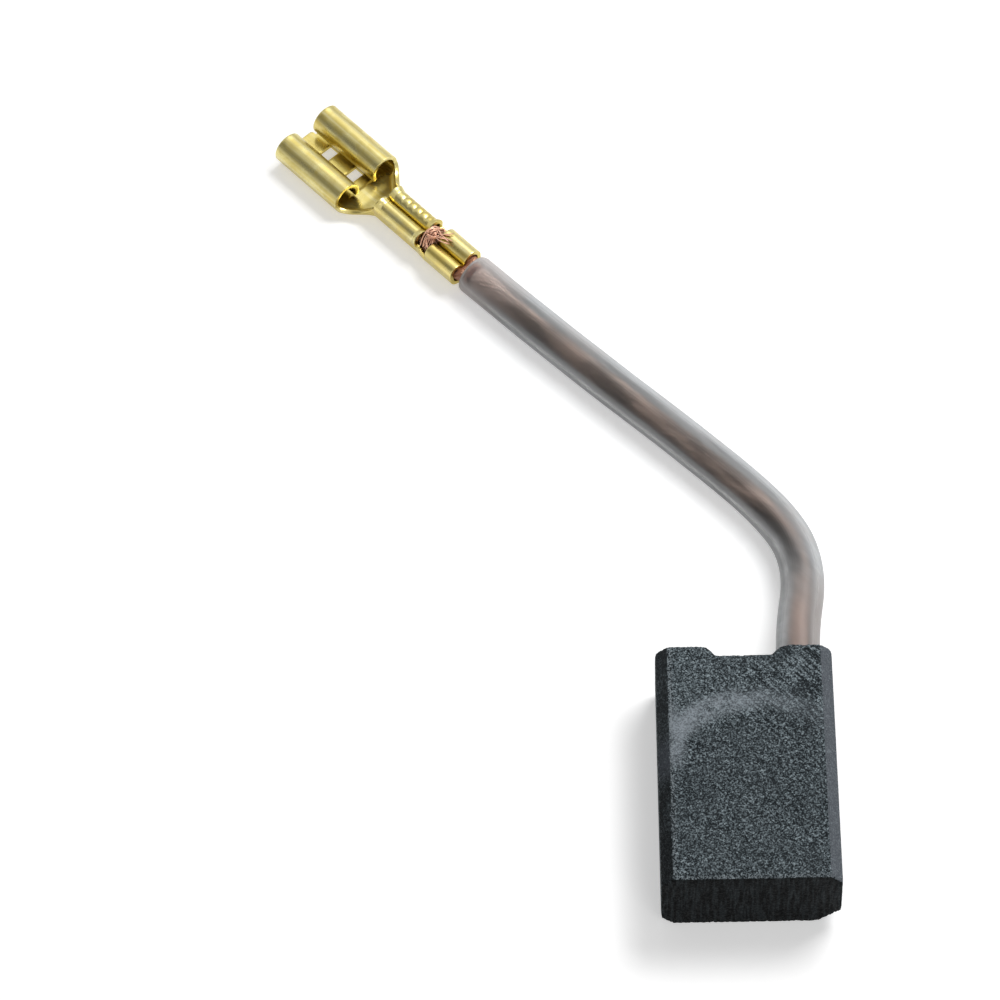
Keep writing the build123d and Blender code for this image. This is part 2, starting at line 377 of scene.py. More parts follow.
def copper_look():
    look = Look("bright_copper_wire")
    patina = look.ramp(look.noise(900, 3.0, 0.6), 0.38, 0.72)
    wires = look.noise(6000, 2.0, 0.6)
    colour = look.mix(patina, (0.98, 0.56, 0.38), (0.72, 0.34, 0.21))
    # Painted highlight: paler copper in fine flecks
    colour = look.mix(look.ramp(wires, 0.4, 0.75, 0.0, 0.5), colour, (1.0, 0.74, 0.58))
    # Painted shade in the gaps between the wires, where ambient occlusion is low
    gap = look.node("AmbientOcclusion", {"samples": 8}, Distance=0.0005).outputs["AO"]
    colour = look.mix(look.ramp(gap, 0.78, 0.28), colour, (0.15, 0.042, 0.024))
    rough = look.ramp(patina, 0.0, 1.0, 0.34, 0.52)
    shader = look.principled(colour, rough, look.bump(wires, 0.00001, 0.4), Metallic=0.62)
    return look.surface(shader)


def core_look():
    """Rope inside the sleeve: copper with dark oxidised stretches, paler at both ends."""
    look = Look("oxidised_rope")
    x, y, _ = look.split(look.place)
    station = look.dot(look.place, FORWARD)
    stretches = look.streaks(-HEADING, (115, 420, 420), 2.5, 0.6)
    wires = look.streaks(-HEADING, (900, 3200, 3200), 2.0, 0.6)
    colour = look.mix(look.ramp(stretches, 0.36, 0.62), (0.54, 0.40, 0.335), (0.185, 0.145, 0.125))
    # Painted highlight: paler copper in fine streaks along the rope
    colour = look.mix(look.ramp(wires, 0.45, 0.8, 0.0, 0.35), colour, (0.62, 0.46, 0.38))
    # Darkest on the inner side of the bend before the block
    bend = look.ramp(look.reach(look.plus(x, 0.0065), look.math("SUBTRACT", y, 0.0205)), 0.0136, 0.0124)
    in_bend = look.times(look.ramp(y, 0.0215, 0.0245), look.ramp(y, 0.041, 0.035))
    colour = look.mix(look.times(bend, in_bend, 0.92), colour, (0.026, 0.017, 0.013))
    near_block = look.ramp(y, 0.0235, 0.0165)
    colour = look.mix(look.times(near_block, 0.9), colour, (0.48, 0.34, 0.28))
    near_grip = look.ramp(station, SLEEVE_END - 0.0080, SLEEVE_END - 0.0020, 0.0, 0.85)
    colour = look.mix(near_grip, colour, (0.60, 0.49, 0.44))
    # Where the rope is bare: copper colour, darkened as painted shade under the loose outer wires
    bare = look.ramp(station, SLEEVE_END - 0.0005, SLEEVE_END)
    colour = look.mix(bare, colour, (0.42, 0.185, 0.115))
    rough = look.ramp(wires, 0.3, 0.7, 0.45, 0.65)
    shader = look.principled(colour, rough, look.bump(wires, 0.00002, 0.5), Metallic=0.18)
    return look.surface(shader)


def powder_look():
    look = Look("tamped_copper_powder")
    grain = look.noise(9000, 2.0, 0.7)
    colour = look.mix(look.ramp(grain, 0.35, 0.65), (0.22, 0.10, 0.06), (0.62, 0.34, 0.22))
    rough = look.ramp(grain, 0.3, 0.7, 0.5, 0.8)
    shader = look.principled(colour, rough, look.bump(grain, 0.00005, 0.8), Metallic=0.6)
    return look.surface(shader)


def sleeve_look():
    """Frosted soft tube: clear where seen straight through, milky towards its sides."""
    look = Look("frosted_sleeving")
    streaks = look.streaks(-HEADING, (170, 1500, 1500), 3.0, 0.55)
    cloud = look.noise(300, 3.0, 0.5)
    x, y, _ = look.split(look.place)
    near_block = look.ramp(y, 0.0240, 0.0165)
    near_grip = look.ramp(look.dot(look.place, FORWARD), SLEEVE_END - 0.0075, SLEEVE_END - 0.0010)
    colour = look.mix(look.ramp(streaks, 0.35, 0.68), (0.40, 0.418, 0.430), (0.52, 0.538, 0.550))
    colour = look.mix(look.ramp(cloud, 0.40, 0.70, 0.0, 0.5), colour, (0.48, 0.455, 0.445))
    pink = look.times(near_block, look.ramp(x, 0.0034, 0.0052))
    colour = look.mix(look.times(pink, 0.85), colour, (0.33, 0.295, 0.280))
    # The two flanks differ: the flank turned away from the lamps is painted greyer, a painted shade,
    # and a darker grey strip runs along the edge of the other flank
    flank = look.dot(look.node("NewGeometry").outputs["True Normal"], ACROSS)
    # Painted shade on the flank turned away from the lamps
    shaded_flank = look.ramp(flank, 0.0, 0.45, 0.0, 0.9)
    shaded_flank = look.times(shaded_flank, look.math("SUBTRACT", 1.0, near_block))
    colour = look.mix(shaded_flank, colour, (0.170, 0.175, 0.178))
    colour = look.mix(look.ramp(flank, -0.62, -0.90, 0.0, 0.80), colour, (0.26, 0.272, 0.280))
    colour = look.mix(look.times(near_grip, 0.55), colour, (0.56, 0.485, 0.455))
    glancing = look.node("LayerWeight", Blend=0.5).outputs["Facing"]
    milk = look.plus(
        look.ramp(glancing, 0.12, 0.62, 0.03, 0.86),
        look.ramp(cloud, 0.35, 0.75, 0.0, 0.06),
        look.times(near_grip, 0.20),
        look.times(near_block, 0.20),
    )
    clearness = look.math("SUBTRACT", 1.0, look.math("MINIMUM", milk, 0.95))
    rough = look.ramp(streaks, 0.3, 0.7, 0.32, 0.44)
    shader = look.principled(colour, rough, look.bump(streaks, 0.00002, 0.18), IOR=SLEEVE_IOR)
    look.feed(shader.inputs["Transmission Weight"], clearness)
    return look.lit_through(shader, (0.96, 0.965, 0.97), 0.85)


def bore_look():
    """Inner wall of the tube, clear but softly rough."""
    look = Look("clear_bore")
    cloud = look.noise(500, 3.0, 0.5)
    colour = look.mix(cloud, (0.90, 0.90, 0.90), (0.97, 0.96, 0.95))
    rough = look.ramp(cloud, 0.3, 0.7, 0.20, 0.34)
    shader = look.principled(colour, rough, Transmission_Weight=1.0, IOR=SLEEVE_IOR)
    return look.lit_through(shader, (0.99, 0.99, 0.99), 0.92)


def brass_look():
    look = Look("drawn_brass")
    drawn = look.streaks(-HEADING, (70, 2600, 2600), 3.0, 0.6)
    cloud = look.noise(420, 3.0, 0.6, 0.6)
    spots = look.noise(1700, 3.0, 0.65)
    warm = look.noise(230, 2.0, 0.5)
    colour = look.mix(look.ramp(cloud, 0.35, 0.66), (0.68, 0.60, 0.26), (0.54, 0.445, 0.145))
    colour = look.mix(look.ramp(drawn, 0.42, 0.72, 0.0, 0.40), colour, (0.84, 0.80, 0.52))
    colour = look.mix(look.ramp(warm, 0.52, 0.68, 0.0, 0.45), colour, (0.78, 0.58, 0.13))
    colour = look.mix(look.ramp(spots, 0.66, 0.80, 0.0, 0.5), colour, (0.32, 0.24, 0.08))
    # Painted shade: darker, deeper yellow in the hollows of the folds, from ambient occlusion
    hollow = look.node("AmbientOcclusion", {"samples": 8}, Distance=0.0042).outputs["AO"]
    colour = look.mix(look.ramp(hollow, 0.86, 0.36), colour, (0.62, 0.50, 0.130))
    rough = look.ramp(cloud, 0.3, 0.7, 0.24, 0.34)
    height = look.plus(look.times(drawn, 0.6), look.times(spots, 0.3))
    shader = look.principled(colour, rough, look.bump(height, 0.000012, 0.3), Metallic=1.0)
    return look.surface(shader)


# Mesh helpers
def make_piece(name, points, faces, material):
    """A mesh piece from points in millimetres."""
    mesh = bpy.data.meshes.new(name)
    mesh.from_pydata([tuple(p) for p in np.asarray(points) * MM], [], faces)
    mesh.validate()
    mesh.update()
    mesh.polygons.foreach_set("use_smooth", [True] * len(mesh.polygons))
    mesh.materials.append(material)
    return linked(name, mesh)


def baked(holder):
    """Mesh of an object as its modifiers or its curve make it."""
    bpy.context.view_layer.update()
    ready = holder.evaluated_get(bpy.context.evaluated_depsgraph_get())
    return bpy.data.meshes.new_from_object(ready)


def vectors(vertices, kind="co"):
    """Places or normals of a mesh's vertices."""
    values = np.empty(len(vertices) * 3)
    vertices.foreach_get(kind, values)
    return values.reshape(-1, 3)


def ring_faces(rings, sides, first=0):
    """Quads between successive rings of points."""
    faces = []
    for ring in range(rings - 1):
        low, high = first + ring * sides, first + (ring + 1) * sides
        for side in range(sides):
            after = (side + 1) % sides
            faces.append((low + side, low + after, high + after, high + side))
    return faces


def run_along(points):
    """Distance of each point from the start of its line."""
    return np.concatenate([[0], np.cumsum(np.linalg.norm(np.diff(points, axis=0), axis=1))])


def resample(line, step):
    """Points at an even step along a line."""
    line = np.asarray(line, float)
    lengths = run_along(line)
    wanted = np.linspace(0, lengths[-1], max(2, int(round(lengths[-1] / step)) + 1))
    return np.stack([np.interp(wanted, lengths, line[:, axis]) for axis in range(3)], axis=1)


def frames_along(line):
    """Side and top directions that turn as little as they can."""
    tangents = np.gradient(line, axis=0)
    tangents /= np.linalg.norm(tangents, axis=1)[:, None]
    side = np.cross(tangents[0], UPWARD)
    if np.linalg.norm(side) < 0.1:
        side = np.cross(tangents[0], np.array([1.0, 0.0, 0.0]))
    sides, tops = [], []
    for tangent in tangents:
        side = side - tangent * (side @ tangent)
        side /= np.linalg.norm(side)
        sides.append(side)
        tops.append(np.cross(side, tangent))
    return np.array(sides), np.array(tops)


class Strands:
    """Many thin wires gathered in one mesh."""

    def __init__(self, sides=6):
        self.sides = sides
        self.points = []
        self.faces = []

    def add(self, line, radius):
        line = np.asarray(line, float)
        sides, tops = frames_along(line)
        first = len(self.points)
        for centre, side, top in zip(line, sides, tops):
            for step in range(self.sides):
                angle = 2 * math.pi * step / self.sides
                self.points.append(centre + radius * (math.cos(angle) * side + math.sin(angle) * top))
        self.faces += ring_faces(len(line), self.sides, first)
        last = first + (len(line) - 1) * self.sides
        self.faces.append(tuple(first + i for i in range(self.sides)))
        self.faces.append(tuple(last + i for i in reversed(range(self.sides))))


def lead_line():
    """Points read from the lead's spline, whose control points are the route."""
    curve = bpy.data.curves.new("lead_line", "CURVE")
    curve.dimensions = "3D"
    curve.resolution_u = 32
    spline = curve.splines.new("NURBS")
    spline.points.add(len(ROUTE) - 1)
    for point, place in zip(spline.points, ROUTE):
        point.co = (*place, 1.0)
    spline.order_u = 3
    spline.use_endpoint_u = True
    holder = linked("lead_line", curve)
    mesh = baked(holder)
    points = vectors(mesh.vertices) / MM
    bpy.data.objects.remove(holder)
    bpy.data.meshes.remove(mesh)
    return points


# Carbon block
def segment_distance(point, start, end):
    run = end - start
    share = min(1.0, max(0.0, float((point - start) @ run) / float(run @ run)))
    return float(np.linalg.norm(point - start - run * share))


def block_outline(y):
    """Closed outline of the block's section at one end."""
    half, top = BLOCK_WIDTH / 2, BLOCK_THICKNESS
    loop = [(-half, EDGE_CHAMFER), (-half + EDGE_CHAMFER, 0)]
    loop += [(half - WIDE_EDGE_CHAMFER, 0), (half, WIDE_EDGE_CHAMFER)]
    loop += [(half, top - EDGE_CHAMFER), (half - EDGE_CHAMFER, top)]
    loop += [(-half + EDGE_CHAMFER, top), (-half, top - EDGE_CHAMFER)]
    return [np.array((x, y, z)) for x, z in loop]


def edge_wear(gap, wear, fine, small):
    """Depth that is lost at a gap from an edge."""
    reach, even, chips, start, crumbs = wear
    deepest = even + chips * max(0.0, fine - start) + crumbs * max(0.0, small)
    return deepest * max(0.0, 1 - gap / reach)


def make_block(material):
    """The solid's own mesh, made even and worn along its edges."""
    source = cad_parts["carbon_block"]
    piece = linked("carbon_block_worn", source.data.copy())
    remesh = piece.modifiers.new("even_mesh", "REMESH")
    remesh.mode = "VOXEL"
    remesh.voxel_size = BLOCK_VOXEL * MM
    mesh = baked(piece)
    piece.modifiers.clear()
    piece.data = mesh
    points = vectors(mesh.vertices) / MM
    normals = vectors(mesh.vertices, "normal")
    near, far = block_outline(-TOP_END), block_outline(TOP_END)
    ends = list(zip(near, near[1:] + near[:1])) + list(zip(far, far[1:] + far[:1]))
    longs = list(zip(near, far))
    floor, mouth = NOTCH_FLOOR / 2, NOTCH_MOUTH / 2
    notch = [(-mouth, TOP_END), (-floor, TOP_END - NOTCH_DEPTH)]
    notch += [(floor, TOP_END - NOTCH_DEPTH), (mouth, TOP_END)]
    for z in (0.0, BLOCK_THICKNESS):
        corners = [np.array((x, y, z)) for x, y in notch]
        ends += list(zip(corners, corners[1:]))
    moved = points.copy()
    for index, point in enumerate(points):
        axis_gap = math.hypot(point[0] - LEAD_AXIS[0], point[2] - LEAD_AXIS[1])
        if axis_gap < SEAT_RADIUS + 0.25 and point[1] > STAKE_BOTTOM - 2:
            continue
        place = Vector(point)
        end_gap = long_gap = 9.0
        if abs(point[1]) > TOP_END - 2.2:
            end_gap = min(segment_distance(point, a, b) for a, b in ends)
        if abs(point[0]) > BLOCK_WIDTH / 2 - 2.6:
            long_gap = min(segment_distance(point, a, b) for a, b in longs)
        fine = noise.noise(place * 3.1)
        small = noise.noise(place * 6.3 + Vector((7, 3, 1)))
        depth = 0.010 * (1 + noise.noise(place * 3.0))
        depth += edge_wear(end_gap, END_WEAR, fine, small)
        depth += edge_wear(long_gap, LONG_WEAR, fine, small)
        if point[1] > TOP_END - 2.0:
            corner_gap = math.hypot(abs(point[0]) - NOTCH_MOUTH / 2, point[1] - TOP_END)
            deepest = RIGHT_CORNER_DEPTH if point[0] > 0 else LEFT_CORNER_DEPTH
            depth += deepest * max(0.0, 1 - corner_gap / CORNER_WEAR)
        moved[index] = point - normals[index] * depth
    mesh.vertices.foreach_set("co", (moved * MM).ravel())
    mesh.polygons.foreach_set("use_smooth", [True] * len(mesh.polygons))
    mesh.materials.clear()
    mesh.materials.append(material)
    mesh.update()
    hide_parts("carbon_block")
    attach(piece, "root")


# Lead
def make_sleeve(line, material, bore_material):
    """Hollow tube with softly rounded rims and a slightly uneven wall."""
    around = 56
    sides, tops = frames_along(line)
    count = len(line)
    outer = [(index, SLEEVE_RADIUS) for index in range(count)]
    inner = [(index, BORE_RADIUS) for index in reversed(range(count))]
    points = []
    for index, radius in outer + inner:
        centre = line[index]
        rim = index in (0, count - 1)
        for step in range(around):
            angle = 2 * math.pi * step / around
            out = math.cos(angle) * sides[index] + math.sin(angle) * tops[index]
            if radius == SLEEVE_RADIUS:
                wave = noise.noise(Vector(centre * 0.22 + out * 0.7))
                change = -OUTER_WAVE * (1 + wave) - OUTER_RIM * rim
            else:
                change = BORE_WAVE * noise.noise(Vector(centre * 0.3 + out)) + BORE_RIM * rim
            points.append(centre + out * (radius + change))
    faces = ring_faces(2 * count, around)
    last = (2 * count - 1) * around
    for step in range(around):
        after = (step + 1) % around
        faces.append((last + step, last + after, after, step))
    piece = make_piece("lead_sleeve", points, faces, material)
    piece.data.materials.append(bore_material)
    for polygon in piece.data.polygons[count * around:(2 * count - 1) * around]:
        polygon.material_index = 1
    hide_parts("sleeve")
    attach(piece, "root")
    return piece


def rope_line(line):
    """The rope's middle line: staked end, inside the sleeve, and on through the grip crimp."""
    start = np.array([LEAD_AXIS[0], STAKE_BOTTOM, LEAD_AXIS[1]])
    grip_end = TERMINAL_REAR + FORWARD * (GRIP_FRONT + 0.2)
    return resample(np.vstack([start, line, TERMINAL_REAR, grip_end]), 0.3)


def squared(first, second):
    """First coordinate of a unit disc's point once the disc is stretched into a square."""
    middle = 2 + first * first - second * second
    change = 2 * math.sqrt(2) * first
    return (math.sqrt(max(0.0, middle + change)) - math.sqrt(max(0.0, middle - change))) / 2


def grip_fill(across, up):
    """Sideways place and height in the grip crimp's hollow of a point of the unit disc."""
    wide, tall = squared(across, up), squared(up, across)
    inner = GRIP_WIDTH / 2 - SHEET
    aside = wide * (inner - 0.2)
    side = -1 if aside < 0.25 else 1
    height, share = GRIP_WINGS[side]
    lobe = inner * share
    middle = BARREL_RISE + height - SHEET / 2 - lobe
    gap = (aside * side - (GRIP_WIDTH / 2 - SHEET / 2 - lobe)) / (lobe - SHEET / 2)
    ceiling = middle + (lobe - SHEET / 2) * math.sqrt(max(0.0, 1 - gap * gap)) - 0.22
    ceiling = max(ceiling, middle - GRIP_TIP - 0.2)
    floor = BARREL_RISE + SHEET + 0.24 + 0.25 * wide ** 4
    return aside, floor + (ceiling - floor) * (tall + 1) / 2


def squeeze(along):
    """Share of the grip crimp's form that the rope has taken at a station."""
    return smooth_step((along + 0.85) / 0.9)


def make_rope(line, material):
    """Bunches of wire laid round each other, wandering inside the loose sleeve."""
    middle = rope_line(line)
    for _ in range(6):
        middle[1:-1] = (middle[:-2] + middle[1:-1] * 2 + middle[2:]) / 4
    sides, tops = frames_along(middle)
    run = run_along(middle)
    total = run[-1]
    loose = np.clip((run - 9.0) / 4.0, 0, 1) * np.clip((total - 6.5 - run) / 3.0, 0, 1)
    sway = (0.05 * np.sin(run * 0.27 + 0.6) - 0.15) * loose
    sink = (0.04 * np.sin(run * 0.47) - 0.05) * loose
    centre = middle + sides * sway[:, None] + tops * sink[:, None]
    strands = Strands(sides=8)
    # The bunches spread where the rope is bare and keep clear of the bore inside the sleeve
    bare = np.clip((run - total + 5.6) / 0.6, 0, 1) * np.clip((total - 3.9 - run) / 0.4, 0, 1)
    spread_out = 1 + 0.09 * bare - 0.13 * loose
    for count, ring, radius, phase in BUNCH_RINGS:
        for bunch in range(count):
            angle = 2 * math.pi * (bunch / count + run / ROPE_LAY) + phase
            wobble = ring * spread_out * (1 + 0.05 * np.sin(run * 0.9 + bunch * 2.1))
            path = centre + sides * (wobble * np.cos(angle))[:, None]
            path += tops * (wobble * np.sin(angle))[:, None]
            for index in np.nonzero(run > total - 4.9)[0]:
                along = (path[index] - TERMINAL_REAR) @ FORWARD
                offset = path[index] - TERMINAL_BASE - FORWARD * along
                disc = ((offset @ ACROSS) / 1.02, (offset[2] - SLEEVE_RADIUS) / 1.02)
                size = max(1.0, math.hypot(*disc))
                aside, height = grip_fill(disc[0] / size, disc[1] / size)
                pressed = at_terminal(along, aside, height)
                path[index] += (pressed - path[index]) * squeeze(along)
            strands.add(path, radius)
    piece = make_piece("rope_core", strands.points, strands.faces, material)
    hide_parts("shunt_wire")
    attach(piece, "root")
    return piece


def at_terminal(along, aside, height):
    """Point of the receptacle from its station, sideways place and height."""
    return TERMINAL_BASE + FORWARD * along + ACROSS * aside + UPWARD * height


def make_window_wires(material):
    """Loose wires between the two crimps, with stray hairs and a curl on the wide wing's side."""
    rng = random.Random(11)
    strands = Strands()
    steps = np.linspace(0, 1, 14)
    # Wires that run from the grip to the wire crimp
    for _ in range(THROUGH_WIRES):
        spread = math.sqrt(rng.random())
        turn = rng.random() * 2 * math.pi
        high = math.sin(turn) > 0.25 and spread > 0.6
        x0, z0 = grip_fill(spread * math.cos(turn), spread * math.sin(turn))
        x1 = 1.05 * spread * math.cos(turn + rng.uniform(0.2, 1.0))
        z1 = 1.75 + 0.80 * spread * math.sin(turn + 0.5)
        lift = (0.10 + 0.50 * rng.random()) * high
        lean = rng.uniform(-0.7, 0.7) if high else rng.uniform(-0.2, 0.2)
        twist = rng.uniform(-0.5, 0.5) * high
        line = []
        for t in steps:
            bow = math.sin(math.pi * t)
            wave = math.sin(2 * math.pi * t)
            aside = x0 + (x1 - x0) * t + lean * bow + twist * wave
            aside = max(-1.45, min(1.45, aside))
            line.append(at_terminal(GRIP_FRONT - 0.3 + 2.2 * t, aside, z0 + (z1 - z0) * t + lift * bow))
        strands.add(line, rng.uniform(0.055, 0.075))
    # Outer wires of the bare stretch behind the grip
    for wire in range(OUTER_WIRES):
        turn = 2 * math.pi * wire / OUTER_WIRES + rng.uniform(-0.04, 0.04)
        rim = rng.uniform(0.97, 1.03)
        line = []
        for t in steps:
            along = -BARE_ROPE - 0.5 + 2.0 * t
            angle = turn + 1.1 * t
            out = np.array([math.cos(angle), math.sin(angle)])
            free = 1.19 * rim * out + (0, SLEEVE_RADIUS)
            pressed = np.array(grip_fill(*(0.97 * out)))
            line.append(at_terminal(along, *(free + (pressed - free) * squeeze(along))))
        strands.add(line, rng.uniform(0.044, 0.056))
    # Wires that bow up across the window
    for _ in range(CROSSING_WIRES):
        side = rng.choice((-1, 1))
        along = GRIP_FRONT + rng.uniform(0.25, 1.2)
        reach = rng.uniform(0.9, 1.5)
        peak = rng.uniform(3.05, 3.55)
        slope = rng.uniform(-0.6, 0.6)
        line = []
        for t in steps:
            station = along + slope * (t - 0.5) + 0.2 * math.sin(5 * t)
            height = 2.2 + (peak - 2.2) * math.sin(math.pi * t) ** 0.7
            line.append(at_terminal(station, side * reach * (2 * t - 1), height))
        strands.add(line, rng.uniform(0.055, 0.07))
    # Hairs that reach over the grip's wide wing
    for _ in range(STRAY_HAIRS):
        start = [GRIP_FRONT + rng.uniform(0.35, 0.8), rng.uniform(-0.6, 0.3), rng.uniform(3.0, 3.3)]
        end = [GRIP_FRONT - rng.uniform(0.3, 1.5), rng.uniform(-1.2, 0.1), 3.56]
        bow = [0.0, rng.uniform(-0.1, 0.5), rng.uniform(0.10, 0.25)]
        start, end, bow = np.array(start), np.array(end), np.array(bow)
        line = [at_terminal(*(start + (end - start) * t + bow * math.sin(math.pi * t))) for t in steps]
        strands.add(line, 0.055)
    # The curl
    for curl in range(CURL_WIRES):
        radius = 0.56 + 0.10 * rng.random()
        tilt = rng.uniform(-0.3, 0.3)
        shift = rng.uniform(-0.08, 0.08)
        line = []
        for t in np.linspace(0.0, 1.0, 34):
            angle = 5.7 * t + 0.4 + curl * 0.15
            along = GRIP_FRONT + 0.75 + shift + radius * 0.95 * math.cos(angle)
            height = 3.15 + 0.14 * math.sin(angle + tilt) + 0.03 * curl
            line.append(at_terminal(along, 0.05 + radius * math.sin(angle), height))
        strands.add(line, 0.06)
    piece = make_piece("window_wires", strands.points, strands.faces, material)
    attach(piece, "root")
    return piece


# Receptacle: one folded sheet, drawn as its middle surface
def trace(height, moves, tail=8.0):
    """Fine polyline of a section: each move is a run's length and the degrees it turns."""
    place, angle = np.array([0.0, height]), 0.0
    points = [place]
    for length, turn in moves + [(tail, 0.0)]:
        steps = max(2, int(length / 0.02))
        for _ in range(steps):
            angle += math.radians(turn) / steps / 2
            place = place + length / steps * np.array([math.cos(angle), math.sin(angle)])
            angle += math.radians(turn) / steps / 2
            points.append(place)
    points = np.array(points)
    return points, run_along(points)


def arc(radius, degrees):
    return (radius * math.radians(degrees), degrees)


@functools.cache
def channel(width, corner, height):
    """Section that is open at the top."""
    return trace(height, [(width / 2 - SHEET / 2 - corner, 0), arc(corner, 90)])


def wing(width, corner, height, share, tip):
    """Moves of one side of a crimp, from the middle of its floor to its pressed edge."""
    floor = width / 2 - SHEET / 2 - corner
    lobe = (width / 2 - SHEET) * share
    wall = height - SHEET - lobe - corner
    return [(floor, 0), arc(corner, 90), (wall, 0), arc(lobe, 180), (tip, 0)]


def on_line(section, reach):
    points, lengths = section
    return np.array([np.interp(reach, lengths, points[:, 0]), np.interp(reach, lengths, points[:, 1])])


def smooth_step(value):
    value = min(1.0, max(0.0, value))
    return value * value * (3 - 2 * value)


# Columns of the blank at the rear of the box, as distances from its middle, that narrow with the
# neck; OPENING is the length in which a closed section opens
COLUMNS = [0, 0.275, 0.55, 0.825, 1.1, 1.25, 1.475, 1.7, 1.95, 2.2]
COLUMNS += [2.45, 2.7, 2.95, 3.2, 3.45, 3.7, 3.95, 4.2, 4.475, 4.75]
NECK_WIDE = COLUMNS[-1]
NECK_NARROW = 2.75
OPENING = 0.5
CHANNEL_COLUMNS = 18
CHANNEL_WIDE = 2.41
TONGUE_COLUMNS = 5


class Receptacle:
    """Where a point of the flat blank ends up once the sheet is folded."""

    def __init__(self):
        self.low = SHEET / 2 + BARREL_RISE
        self.flat = SHEET / 2
        self.grip, self.grip_reach = {}, {}
        for side, (height, share) in GRIP_WINGS.items():
            moves = wing(GRIP_WIDTH, GRIP_CORNER, height, share, GRIP_TIP)
            self.grip[side] = trace(self.low, moves, 0.5)
            self.grip_reach[side] = sum(move[0] for move in moves)
        moves = wing(WIRE_WIDTH, WIRE_CORNER, *WIRE_WING, WIRE_TIP)
        self.wire = trace(self.low, moves, 0.5)
        self.wire_reach = sum(move[0] for move in moves)
        floor = BOX_WIDTH / 2 - ROLL_BEND - SHEET / 2
        self.box = trace(self.flat, [(floor, 0), arc(ROLL_BEND, ROLL_WRAP)], 0.5)
        self.box_reach = floor + ROLL_BEND * math.radians(ROLL_WRAP)

    def neck_reach(self, along):
        share = (along - WIRE_FRONT) / (BOX_REAR - WIRE_FRONT)
        return NECK_NARROW + (NECK_WIDE - NECK_NARROW) * share - 0.75 * (1 - (2 * share - 1) ** 2)

    def bridge(self, along, reach, shape, rear, front):
        """Place on an open channel; rear and front are (station, section) where it closes again."""
        place = on_line(channel(*(round(size, 4) for size in shape)), reach)
        from_rear = 1 - smooth_step((along - rear[0]) / OPENING)
        to_front = smooth_step((along - front[0] + OPENING) / OPENING)
        place = place + from_rear * (on_line(rear[1], reach) - place)
        return place + to_front * (on_line(front[1], reach) - place)

    def folded(self, along, reach, side):
        """Sideways place and height of a blank point, before the crimps' small features."""
        if along <= GRIP_FRONT:
            return on_line(self.grip[side], reach)
        if along < WIRE_REAR:
            share = (along - GRIP_FRONT) / (WIRE_REAR - GRIP_FRONT)
            width = GRIP_WIDTH + (WIRE_WIDTH - GRIP_WIDTH) * share
            corner = WINDOW_CORNER + (WIRE_CORNER - WINDOW_CORNER) * share
            ends = (GRIP_FRONT, self.grip[side]), (WIRE_REAR, self.wire)
            return self.bridge(along, reach, (width, corner, self.low), *ends)
        if along <= WIRE_FRONT:
            return on_line(self.wire, reach)
        if along < BOX_REAR:
            share = (along - WIRE_FRONT) / (BOX_REAR - WIRE_FRONT)
            width = WIRE_WIDTH + (BOX_WIDTH - WIRE_WIDTH) * (0.35 * share + 0.65 * smooth_step(share))
            corner = WIRE_CORNER + (ROLL_BEND - WIRE_CORNER) * share
            height = self.low + (self.flat - self.low) * smooth_step(share)
            ends = (WIRE_FRONT, self.wire), (BOX_REAR, self.box)
            return self.bridge(along, reach, (width, corner, height), *ends)
        return on_line(self.box, reach)

    def point(self, along, reach, side):
        aside, height = self.folded(along, reach, side)
        # Bell mouths at both ends of the wire crimp
        lift = smooth_step((height - 1.2) / 1.3)
        if WIRE_REAR - 0.3 <= along <= WIRE_FRONT + 0.3:
            edge = min(abs(along - WIRE_REAR), abs(along - WIRE_FRONT))
            flare = lift * (1 - smooth_step(edge / 0.65))
            aside += flare * 0.13 * aside / 1.5
            height += flare * 0.24
            aside += 0.02 * lift
        # Serrations pressed through one flank of the wire crimp
        if side < 0 and WIRE_REAR < along < WIRE_FRONT:
            for count in range(SERRATIONS):
                station = SERRATION_REAR + SERRATION_PITCH * count
                gap = ((along - station) / 0.18) ** 2 + ((reach - SERRATION_REACH) / 0.50) ** 2
                if gap < 6:
                    press = SERRATION_DEPTH * math.exp(-gap)
                    aside -= press * 0.35
                    height -= press * 0.93
        # Lips of the rolls turn out a little at the mouth
        if along > BOX_FRONT - 0.7 and reach > 4.6:
            lip = smooth_step((along - BOX_FRONT + 0.7) / 0.7)
            height += 0.05 * lip * smooth_step(reach - 4.6)
        # Low step across the floor behind the box
        past = along - BOX_REAR
        behind = smooth_step((0.55 - past) / 0.12) * smooth_step((past + 1.4) / 1.2)
        step = 0.11 * behind * (1 - smooth_step((reach - 1.5) / 0.5))
        return at_terminal(along, side * aside, height + step)


class Blank:
    """Grid patches of the flat blank, welded where they share a point."""

    def __init__(self, form):
        self.form = form
        self.index = {}
        self.points = []
        self.faces = []

    def vertex(self, along, reach, side):
        key = (round(along, 4), round(reach, 4), side if reach > 1e-6 else 0)
        if key not in self.index:
            self.index[key] = len(self.points)
            held = min(along, BOX_FRONT)
            self.points.append(self.form.point(held, reach, side) + FORWARD * (along - held))
        return self.index[key]

    def patch(self, rows, columns, hole=None):
        """Quads between rows; columns gives the distances from the middle at a row, on a side."""
        for side in (-1, 1):
            for rear, front in zip(rows, rows[1:]):
                reaches = columns(rear, side)
                low = [self.vertex(rear, reach, side) for reach in reaches]
                high = [self.vertex(front, reach, side) for reach in columns(front, side)]
                for i in range(len(low) - 1):
                    if hole and hole((rear + front) / 2, (reaches[i] + reaches[i + 1]) / 2):
                        continue
                    face = (low[i], low[i + 1], high[i + 1], high[i])
                    self.faces.append(face if side > 0 else face[::-1])


def spread(start, stop, step):
    """Evenly spaced values that include both ends."""
    return list(np.linspace(start, stop, max(2, int(round((stop - start) / step)) + 1)))


def in_window(along, reach):
    return reach < WINDOW_WIDTH / 2 and any(abs(along - place) < WINDOW_LENGTH / 2 for place in WINDOWS)


